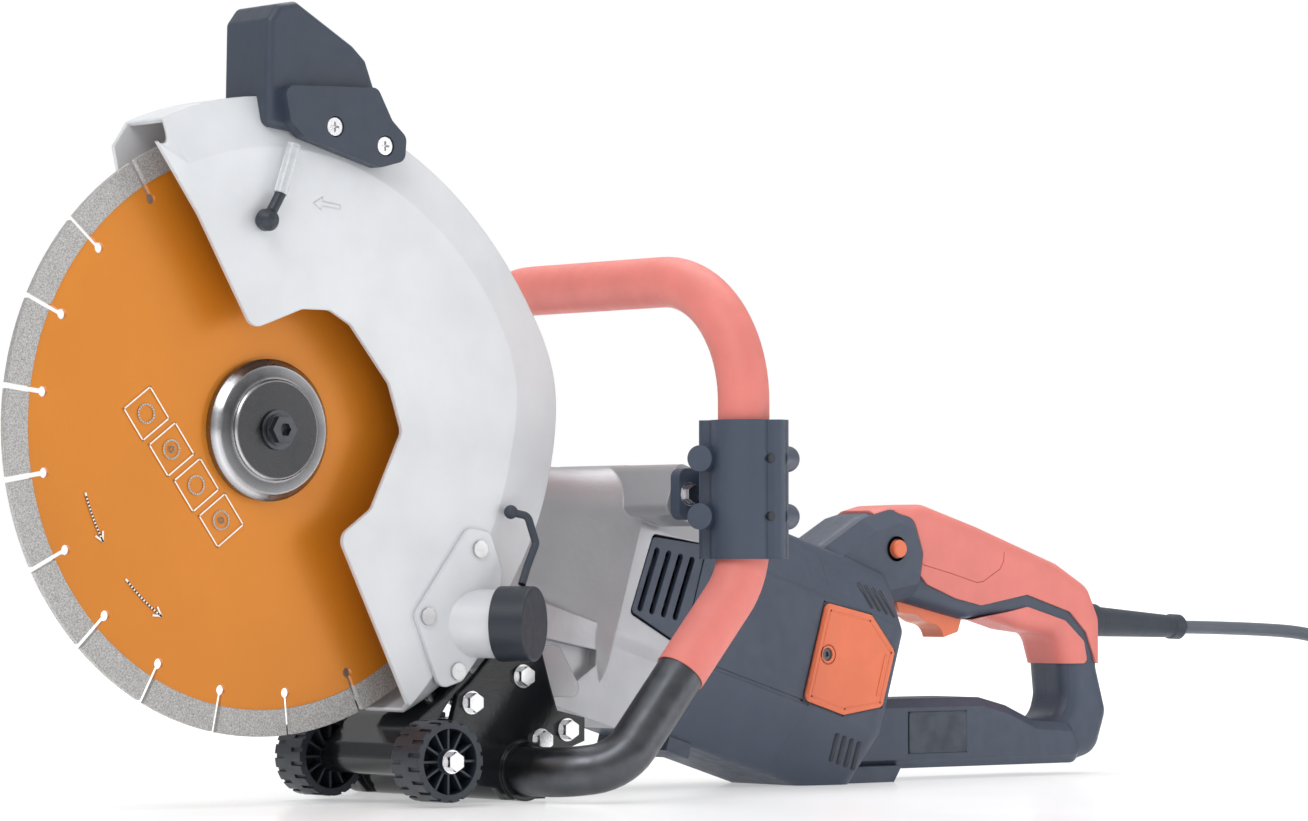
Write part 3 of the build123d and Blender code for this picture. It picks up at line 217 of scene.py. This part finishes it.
def flange_steel():
    """Turned flange: dark oiled face inside a ground bevel, with two narrow bright rings painted into its
    colour as highlights.
    """
    surface = Surface("flange_steel", (0.13, 0.14, 0.165), 0.26, 1.0).soft_edges(0.0005)
    mapping = surface.node("ShaderNodeMapping")
    mapping.inputs["Scale"].default_value = (1, 0, 1)
    mapping.inputs["Location"].default_value = (-ARBOR.x, 0, -ARBOR.z)
    surface.link(surface.place, mapping.inputs["Vector"])
    reach = surface.node("ShaderNodeVectorMath", operation="LENGTH")
    surface.link(mapping.outputs["Vector"], reach.inputs[0])
    share = surface.spread(reach.outputs["Value"], 0, 1, 0, 0.036)
    ramp = surface.node("ShaderNodeValToRGB")
    stops = ramp.color_ramp
    stops.elements[0].position = 0.0
    stops.elements[0].color = (0.07, 0.072, 0.078, 1)
    stops.elements[1].position = 1.0
    stops.elements[1].color = (0.16, 0.165, 0.18, 1)
    # Ring stops going out from the middle; the two bright ones (tones 0.5 and 0.6) are painted
    # highlights.
    for place, tone in ((0.66, 0.075), (0.69, 0.5), (0.74, 0.12), (0.86, 0.2), (0.93, 0.6)):
        stops.elements.new(place).color = (tone, tone, tone * 1.04, 1)
    surface.link(share, ramp.inputs["Fac"])
    surface.link(ramp.outputs["Color"], surface.shader.inputs["Base Color"])
    surface.rough(surface.noise(140, 5), 0.07)
    lines = surface.node("ShaderNodeMath", operation="SINE")
    steps = surface.node("ShaderNodeMath", operation="MULTIPLY")
    steps.inputs[1].default_value = 9000
    surface.link(reach.outputs["Value"], steps.inputs[0])
    surface.link(steps.outputs["Value"], lines.inputs[0])
    return surface.bump(lines.outputs["Value"], 0.000006).material


def laminations(name, colour):
    """Stacked sheet edges along the motor axis."""
    surface = Surface(name, colour, 0.4, 0.8)
    wave = surface.node("ShaderNodeTexWave", wave_type="BANDS", bands_direction="X")
    wave.inputs["Scale"].default_value = 320
    surface.link(surface.place, wave.inputs["Vector"])
    surface.tint(wave.outputs["Fac"], 0.7, 1.1)
    return surface.bump(wave.outputs["Fac"], 0.00005).material


def clear_plastic():
    surface = Surface("clear_plastic", (0.9, 0.92, 0.93), 0.12, Transmission_Weight=0.82)
    surface.tint(surface.noise(300, 3), 0.9, 1.0)
    return surface.rough(surface.noise(220, 3), 0.05).material


LOOKS = {
    "blade_steel": blade_coat(),
    "diamond": diamond_grit(),
    "bright_steel": machined("bright_steel", (0.55, 0.55, 0.56), 0.26),
    "dark_steel": machined("dark_steel", (0.10, 0.105, 0.115), 0.36),
    "zinc": machined("zinc", (0.80, 0.80, 0.82), 0.2, (1, 1, 1)),
    "guard_silver": cast_metal("guard_silver", (0.65, 0.665, 0.69), 0.42, 0.1, 0.00003),
    "cast_alu": cast_metal("cast_aluminium", (0.42, 0.425, 0.445), 0.42, 0.6, 0.00006),
    "black_gloss": cast_metal("black_gloss", (0.008, 0.009, 0.011), 0.13, 0.0, 0.00002),
    "blue_grey": moulded("blue_grey_nylon", (0.048, 0.064, 0.098), 0.46),
    "coral": moulded("coral_rubber", (0.73, 0.205, 0.175), 0.52, 0.00005),
    "orange": moulded("orange_nylon", (0.77, 0.175, 0.075), 0.38, 0.00004),
    "black_plastic": moulded("black_nylon", (0.02, 0.027, 0.038), 0.42),
    "black_rubber": moulded("black_rubber", (0.028, 0.036, 0.052), 0.54, 0.00008),
    "clear_hose": clear_plastic(),
    "copper": machined("copper", (0.78, 0.33, 0.16), 0.3),
    "carbon": moulded("carbon", (0.03, 0.03, 0.032), 0.6),
    "laminate": laminations("laminations", (0.3, 0.3, 0.31)),
    "brass": machined("brass", (0.74, 0.52, 0.2), 0.28),
    "plate_dark": machined("plate", (0.07, 0.078, 0.095), 0.42),
    "lead_black": moulded("cable_sheath", (0.10, 0.115, 0.14), 0.5, 0.00004),
    "grip_block": moulded("grip_block", (0.032, 0.043, 0.066), 0.46),
}
PRINT_INK = Surface("print_ink", (0.93, 0.88, 0.8), 0.5)
PRINT = PRINT_INK.tint(PRINT_INK.noise(700, 3), 0.9, 1.05).material
OWN_LOOKS = {"outer_flange": flange_steel(), "dust_port": LOOKS["guard_silver"],
             "port_cap": LOOKS["black_plastic"], "guard_grip": LOOKS["grip_block"],
             "hose_elbow": LOOKS["black_plastic"], "blade_bolt": LOOKS["dark_steel"],
             "bolt_washer": LOOKS["dark_steel"]}
SLOTS = {entry["node"]: entry["material_slot"] for entry in frame["record"]["subparts"]}
for node, piece in frame["nodes"].items():
    piece.data.materials.clear()
    piece.data.materials.append(OWN_LOOKS.get(node) or LOOKS[SLOTS[node]])


# ---------------------------------------------------------------- making pieces
def piece_from(name, mesh_code, body, slot, smooth=True, look=None):
    """New mesh filled in by mesh_code(bmesh), riding on a body, with its slot's look or its own."""
    mesh = bpy.data.meshes.new(name)
    shape = bmesh.new()
    mesh_code(shape)
    bmesh.ops.recalc_face_normals(shape, faces=shape.faces)
    shape.to_mesh(mesh)
    shape.free()
    for face in mesh.polygons:
        face.use_smooth = smooth
    made = bpy.data.objects.new(name, mesh)
    bpy.context.scene.collection.objects.link(made)
    made.data.materials.append(look or LOOKS[slot])
    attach(made, body)
    return made


def frame_of(origin, normal, across):
    """Matrix with z along normal and x along across."""
    z = Vector(normal).normalized()
    x = (Vector(across) - z * Vector(across).dot(z)).normalized()
    turn = Matrix((x, z.cross(x), z)).transposed().to_4x4()
    return Matrix.Translation(origin) @ turn


def add_prism(shape, outline, place, depth, bevel=0.0):
    """Closed prism: outline (x, y) in millimetres on the matrix's xy plane, depth along its z."""
    low = [shape.verts.new(place @ Vector((x * MM, y * MM, 0))) for x, y in outline]
    high = [shape.verts.new(place @ Vector((x * MM, y * MM, depth * MM))) for x, y in outline]
    faces = [shape.faces.new(low), shape.faces.new(high)]
    for index in range(len(low)):
        after = (index + 1) % len(low)
        faces.append(shape.faces.new((low[index], low[after], high[after], high[index])))
    if bevel:
        bmesh.ops.bevel(shape, geom=faces[1].edges[:], offset=bevel * MM, segments=2, affect="EDGES")


def add_turned(shape, profile, place, steps=48):
    """Closed solid of revolution: profile (radius, along) in millimetres about the matrix's z."""
    rings = []
    for radius, along in profile:
        if radius == 0:
            rings.append([shape.verts.new(place @ Vector((0, 0, along * MM)))])
            continue
        ring = []
        for step in range(steps):
            turn = 2 * math.pi * step / steps
            point = Vector((radius * math.cos(turn), radius * math.sin(turn), along)) * MM
            ring.append(shape.verts.new(place @ point))
        rings.append(ring)
    for low, high in zip(rings, rings[1:]):
        for step in range(steps):
            after = (step + 1) % steps
            if len(low) == 1:
                shape.faces.new((low[0], high[step], high[after]))
            elif len(high) == 1:
                shape.faces.new((low[step], low[after], high[0]))
            else:
                shape.faces.new((low[step], low[after], high[after], high[step]))


def rounded(width, height, radius, steps=5):
    """Corner-rounded rectangle outline about the origin."""
    outline = []
    for corner, (sx, sy) in enumerate(((1, 1), (-1, 1), (-1, -1), (1, -1))):
        for step in range(steps + 1):
            turn = math.pi / 2 * (corner + step / steps)
            outline.append((sx * (width / 2 - radius) + radius * math.cos(turn),
                            sy * (height / 2 - radius) + radius * math.sin(turn)))
    return outline


# ---------------------------------------------------------------- mains lead
CORD_D = 0.008
ON_FLOOR = -188 + 4
LEAD = [(700, 50, -103.9), (757, 50, -105), (817, 46, -109), (862, 32, -130), (888, 6, -162),
        (892, -30, ON_FLOOR), (872, -66, ON_FLOOR)]
COIL_X, COIL_Y = 826.5, -40.7
TURN_POINTS = 14
LAYERS = [(ON_FLOOR, (52, 44, 36)), (ON_FLOOR + 8, (36, 44, 52)), (ON_FLOOR + 16, (52, 44))]
INNER_R = 36
# End of the lead, climbing from the inner turn into the plug: degrees round the coil, radius, height.
TAIL = [(306, 36, -167), (281, 36, -163), (257, 36, -156), (236, 36, -149.5)]
PLUG_START = (801.5, -62.7, -145.45)


def coil_points():
    """Turns wound side by side in three layers, clockwise seen from above."""
    heading = math.atan2(LEAD[-1][1] - COIL_Y, LEAD[-1][0] - COIL_X)
    points = []
    turn_count = 0
    for layer, (height, radii) in enumerate(LAYERS):
        for index, radius in enumerate(radii):
            if index + 1 < len(radii):
                next_radius, next_height = radii[index + 1], height
            elif layer + 1 < len(LAYERS):
                next_height, next_radius = LAYERS[layer + 1][0], LAYERS[layer + 1][1][0]
            else:
                next_radius, next_height = INNER_R, height
            for step in range(TURN_POINTS):
                share = max(0.0, (step - TURN_POINTS + 4) / 4)
                turn = heading - 2 * math.pi * (turn_count + (step + 1) / TURN_POINTS)
                reach = radius + (next_radius - radius) * share
                level = height + (next_height - height) * share
                points.append((COIL_X + reach * math.cos(turn), COIL_Y + reach * math.sin(turn), level))
            turn_count += 1
    return points


def tail_points():
    points = []
    for turn, reach, level in TAIL:
        around = math.radians(turn)
        points.append((COIL_X + reach * math.cos(around), COIL_Y + reach * math.sin(around), level))
    x, y, z = PLUG_START
    return points + [(x, y - 6, z - 0.3), (x, y + 4, z)]


cord_curve = bpy.data.curves.new("mains_lead", "CURVE")
cord_curve.dimensions = "3D"
cord_curve.bevel_depth = CORD_D / 2
cord_curve.bevel_resolution = 5
cord_curve.resolution_u = 10
spline = cord_curve.splines.new("NURBS")
route = LEAD + coil_points() + tail_points()
spline.points.add(len(route) - 1)
for point, place in zip(spline.points, route):
    point.co = (*at(*place), 1)
spline.order_u = 3
spline.use_endpoint_u = True
mains_lead = bpy.data.objects.new("mains_lead", cord_curve)
bpy.context.scene.collection.objects.link(mains_lead)
cord_curve.materials.append(LOOKS["lead_black"])
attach(mains_lead, "saw_body")
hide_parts("cord_lead", "cord_coil")


def spline_length():
    """Length of the lead's curve, measured along its own line."""
    plain = cord_curve.copy()
    plain.bevel_depth = 0
    holder = bpy.data.objects.new("measure", plain)
    line = bpy.data.meshes.new_from_object(holder)
    length = sum((line.vertices[a].co - line.vertices[b].co).length
                 for a, b in (edge.vertices for edge in line.edges))
    bpy.data.objects.remove(holder)
    bpy.data.curves.remove(plain)
    bpy.data.meshes.remove(line)
    return length


lead_length = spline_length()
print("lead length, m:", round(lead_length, 3))


# ---------------------------------------------------------------- printed and moulded details
FACE_XZ = Matrix(((1, 0, 0, 0), (0, 0, -1, 0), (0, 1, 0, 0), (0, 0, 0, 1)))


def on_face(y):
    """Drawing plane facing the camera's side: x to the rear, y up, z out towards -Y."""
    return Matrix.Translation(at(0, y, 0)) @ FACE_XZ


def strip(shape, points, width, place, depth, closed=False):
    """Line of even width through points, raised by depth."""
    count = len(points)
    pairs = list(zip(points, points[1:] + points[:1])) if closed else list(zip(points, points[1:]))
    for (x0, y0), (x1, y1) in pairs:
        length = math.hypot(x1 - x0, y1 - y0)
        ux, uy = (x1 - x0) / length * width / 2, (y1 - y0) / length * width / 2
        outline = [(x0 - ux + uy, y0 - uy - ux), (x1 + ux + uy, y1 + uy - ux),
                   (x1 + ux - uy, y1 + uy + ux), (x0 - ux - uy, y0 - uy + ux)]
        add_prism(shape, outline, place, depth)


def arc(radius, start, end, steps=14, centre=(0, 0)):
    turns = [math.radians(start + (end - start) * step / steps) for step in range(steps + 1)]
    return [(centre[0] + radius * math.cos(turn), centre[1] + radius * math.sin(turn)) for turn in turns]


def arrow_head(shape, tip, heading, size, place, depth):
    """Open arrow head at tip, pointing along heading in degrees."""
    ends = []
    for lean in (150, -150):
        turn = math.radians(heading + lean)
        ends.append((tip[0] + size * math.cos(turn), tip[1] + size * math.sin(turn)))
    strip(shape, [ends[0], tip, ends[1]], 1.0, place, depth)


BLADE_FACE = -1.6
PRINT_DEPTH = 0.12
ARROW_R = 111
BOX_COUNT = 4
BOX_HALF = 9.4
BOX_LEAN = math.radians(-54)
FIRST_BOX = (-71, 7)
BOX_STEP = (21 * 1.2, 21 * 1.02)


def blade_print(shape):
    """Turning-direction arrows and a row of plain picture boxes."""
    place = on_face(BLADE_FACE)
    for start, end in ((-163, -150), (-138, -124)):
        sweep = arc(ARROW_R, start, end)
        strip(shape, sweep, 1.0, place, PRINT_DEPTH)
        arrow_head(shape, sweep[-1], end + 90, 4.5, place, PRINT_DEPTH)
    across, down = math.cos(BOX_LEAN), math.sin(BOX_LEAN)
    for index in range(BOX_COUNT):
        middle = (FIRST_BOX[0] + index * BOX_STEP[0] * across, FIRST_BOX[1] + index * BOX_STEP[1] * down)
        corners = []
        for sx, sy in ((1, 1), (-1, 1), (-1, -1), (1, -1)):
            x, y = sx * BOX_HALF, sy * BOX_HALF
            corners.append((middle[0] + x * across - y * down, middle[1] + x * down + y * across))
        strip(shape, corners, 0.7, place, PRINT_DEPTH, closed=True)
        strip(shape, arc(4.6, 0, 360, 20, middle)[:-1], 0.8, place, PRINT_DEPTH, closed=True)
        if index % 2:
            strip(shape, arc(1.4, 0, 360, 12, middle)[:-1], 0.7, place, PRINT_DEPTH, closed=True)


piece_from("blade_print", blade_print, "blade_set", "blade_steel", smooth=False, look=PRINT)

GUARD_FACE = -22.0


def guard_arrow(shape):
    """Small raised arrow showing which way the blade turns."""
    outline = [(14, 113), (20, 116.4), (19.6, 114.2), (31, 112.8), (30.6, 110.4), (19.3, 111.8),
               (18.9, 109.8)]
    add_prism(shape, outline, on_face(GUARD_FACE), 0.35)


piece_from("guard_arrow", guard_arrow, "saw_body", "guard_silver", smooth=False)


def chamfer_frame(along, low, high, share):
    """Frame on a chamfer of the motor's near side: z out of it, x along the motor."""
    (y0, v0), (y1, v1) = low, high
    origin = on_motor(along, y0 + (y1 - y0) * share, v0 + (v1 - v0) * share)
    along_axis = on_motor(1, 0, 0) - on_motor(0, 0, 0)
    rise = on_motor(0, y1, v1) - on_motor(0, y0, v0)
    outward = along_axis.cross(rise)
    if outward.y > 0:
        outward = -outward
    return frame_of(origin, outward, along_axis)


def vent_marks(shape, place, count, pitch, length, lean):
    for index in range(count):
        shift = (index - (count - 1) / 2) * pitch
        turn = Matrix.Translation(place @ Vector((shift * MM, 0, -0.3 * MM)) - place.translation)
        tilted = turn @ place @ Matrix.Rotation(math.radians(lean), 4, "Z")
        add_prism(shape, rounded(2.6, length, 1.2), tilted, 0.62)


UPPER_CHAMFER = ((-2, 28), (22, 60))
LOWER_CHAMFER = ((20, -71), (-2, -32))


# The near side as it is, and its mirror image across the motor's middle.
BOTH_SIDES = (Matrix.Identity(4),
              Matrix.Translation((0, 2 * at(0, MID_Y / MM, 0).y, 0)) @ Matrix.Scale(-1, 4, (0, 1, 0)))


def motor_vents(shape):
    """Outlet slots in the motor's rear end, above and below, on both sides."""
    for place in (chamfer_frame(424, *UPPER_CHAMFER, 0.36), chamfer_frame(426, *LOWER_CHAMFER, 0.62)):
        for flip in BOTH_SIDES:
            vent_marks(shape, flip @ place, 4, 5.6, 18, 22)


piece_from("motor_vents", motor_vents, "saw_body", "black_plastic")

GRIP_FACE = 30.8
PANEL_LINE = [(461, -44), (465, -54), (469, -62), (475, -67), (495, -71.5), (516, -77), (521, -76.5),
              (534, -69.5), (537, -65), (537.5, -60)]
# Darker coral: painted shade of the engraved line round the grip's palm panel.
GRIP_LINE_SHADE = Surface("grip_line_shade", (0.42, 0.075, 0.055), 0.6)
GRIP_LINE_SHADE_LOOK = GRIP_LINE_SHADE.tint(GRIP_LINE_SHADE.noise(500, 3), 0.85, 1.1).material


def panel_lines(shape):
    """Fine line round the palm panel of the rubber grip, on both sides, in a darker coral that is painted
    shade of the engraved line.
    """
    for flip in BOTH_SIDES:
        strip(shape, PANEL_LINE, 0.45, flip @ on_face(GRIP_FACE + 0.02), 0.1)


piece_from("grip_panel_lines", panel_lines, "saw_body", "coral", smooth=False, look=GRIP_LINE_SHADE_LOOK)


def motor_face(y):
    """Drawing plane on the motor's near side: x along the motor, y up, z towards -Y."""
    origin = on_motor(0, y, 0)
    along = on_motor(1, y, 0) - origin
    return frame_of(origin, (0, -1, 0), along)


BRUSH_COVER = [(384.5, 21.5), (413.5, 24.3), (433.5, 12), (433.5, -16.5), (409.5, -27), (384.5, -27)]
COVER_FACE = -4.3
COVER_EDGE = [(380.6, 25.5), (415.2, 28.6), (437.5, 14.4), (437.5, -18.4), (411.2, -30.6),
              (380.6, -30.6)]


def cover_panels(shape):
    """Raised outline, a moulded bar and a ring round the screw on each brush cover."""
    for flip in BOTH_SIDES:
        place = flip @ motor_face(COVER_FACE)
        strip(shape, BRUSH_COVER, 0.9, place, 0.35, closed=True)
        strip(shape, [(430.3, 9), (430.3, -13)], 1.6, place, 0.5)
        strip(shape, arc(5.2, 0, 360, 24, (389.5, -2))[:-1], 0.7, place, 0.35, closed=True)


piece_from("brush_cover_panels", cover_panels, "saw_body", "orange", smooth=False)


def dark_gaps(shape):
    """Dark lines round the brush covers, the rating plate and the lock button."""
    for flip in BOTH_SIDES:
        strip(shape, COVER_EDGE, 0.8, flip @ motor_face(-2), 0.15, closed=True)
    low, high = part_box("rating_plate")
    corners = [((x - ARBOR.x) / MM, (z - ARBOR.z) / MM)
               for x, z in ((low.x, low.z), (high.x, low.z), (high.x, high.z), (low.x, high.z))]
    strip(shape, corners, 0.7, on_face((high.y - ARBOR.y) / MM), 0.1, closed=True)
    low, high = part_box("lock_button")
    middle = ((low.x + high.x) / 2 - ARBOR.x) / MM, ((low.z + high.z) / 2 - ARBOR.z) / MM
    strip(shape, arc(6.3, 0, 360, 30, middle)[:-1], 1.4, on_face(26), 0.5, closed=True)


piece_from("shadow_gaps", dark_gaps, "saw_body", "black_plastic", smooth=False)


RIB_COUNT = 5
FIRST_RIB, RIB_PITCH = 31.5, 3.4
RIB_R, RIB_FOOT_R = 19.2, 18.9


def plug_ribs(shape):
    """Grip ribs round the plug's body."""
    low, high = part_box("plug")
    middle = Vector(((low.x + high.x) / 2, low.y, (low.z + high.z) / 2))
    place = frame_of(middle, (0, 1, 0), (1, 0, 0))
    for index in range(RIB_COUNT):
        along = FIRST_RIB + RIB_PITCH * index
        add_turned(shape, [(0, along), (RIB_FOOT_R, along), (RIB_R, along + 0.5), (RIB_R, along + 1.2),
                           (RIB_FOOT_R, along + 1.7), (0, along + 1.7)], place)


piece_from("plug_ribs", plug_ribs, "saw_body", "black_rubber")


# ---------------------------------------------------------------- floor, light
FLOOR_REACH = 14


def white_floor():
    """Floor that catches the shadow and glows brighter away from the saw."""
    mesh = bpy.data.meshes.new("floor")
    corners = [(sx * FLOOR_REACH, sy * FLOOR_REACH, 0) for sx, sy in ((-1, -1), (1, -1), (1, 1), (-1, 1))]
    mesh.from_pydata(corners, [], [(0, 1, 2, 3)])
    floor = bpy.data.objects.new("floor", mesh)
    bpy.context.scene.collection.objects.link(floor)
    surface = Surface("floor", (0.93, 0.94, 0.95), 0.16, Emission_Strength=0.4,
                      Emission_Color=(1, 1, 1, 1))
    surface.tint(surface.noise(2, 2), 0.99, 1.01)
    surface.rough(surface.noise(3, 2), 0.02)
    distance = surface.node("ShaderNodeVectorMath", operation="LENGTH")
    surface.link(surface.place, distance.inputs[0])
    glow = surface.spread(distance.outputs["Value"], 0.37, 0.8, 0.5, 2.2)
    surface.link(glow, surface.shader.inputs["Emission Strength"])
    floor.data.materials.append(surface.material)


def white_world():
    """White behind the saw, and a soft light that is stronger from above."""
    world = bpy.data.worlds.new("studio")
    bpy.context.scene.world = world
    world.use_nodes = True
    tree = world.node_tree
    seen = tree.nodes["Background"]
    seen.inputs["Color"].default_value = (1.0, 1.0, 1.0, 1)
    lit = tree.nodes.new("ShaderNodeBackground")
    sky = tree.nodes.new("ShaderNodeTexCoord")
    parts = tree.nodes.new("ShaderNodeSeparateXYZ")
    level = tree.nodes.new("ShaderNodeMapRange")
    for socket, value in (("From Min", -0.2), ("From Max", 0.8), ("To Min", 0.38), ("To Max", 0.95)):
        level.inputs[socket].default_value = value
    choice = tree.nodes.new("ShaderNodeMixShader")
    path = tree.nodes.new("ShaderNodeLightPath")
    for source, target in ((sky.outputs["Generated"], parts.inputs["Vector"]),
                           (parts.outputs["Z"], level.inputs["Value"]),
                           (level.outputs["Result"], lit.inputs["Strength"]),
                           (path.outputs["Is Camera Ray"], choice.inputs["Fac"]),
                           (lit.outputs["Background"], choice.inputs[1]),
                           (seen.outputs["Background"], choice.inputs[2]),
                           (choice.outputs["Shader"], tree.nodes["World Output"].inputs["Surface"])):
        tree.links.new(source, target)


# Name, place, width, power in watts and the point it is aimed at.
LAMPS = [("key", (-1.5, -0.9, 1.7), 1.1, 17, (0, 0, 0.2)),
         ("top", (0.5, 0.6, 2.1), 1.6, 24, (0.1, 0, 0.1)),
         ("fill", (1.7, -1.7, 0.7), 1.2, 7, (0.2, 0, 0.1))]


def add_lamps():
    for name, place, size, power, target in LAMPS:
        lamp = bpy.data.lights.new(name, "AREA")
        lamp.size = size
        lamp.energy = power
        holder = bpy.data.objects.new(name, lamp)
        bpy.context.scene.collection.objects.link(holder)
        holder.location = place
        aim = Vector(target) - Vector(place)
        holder.rotation_euler = aim.to_track_quat("-Z", "Y").to_euler()


white_floor()
white_world()
add_lamps()
bpy.context.scene.view_settings.view_transform = "Standard"
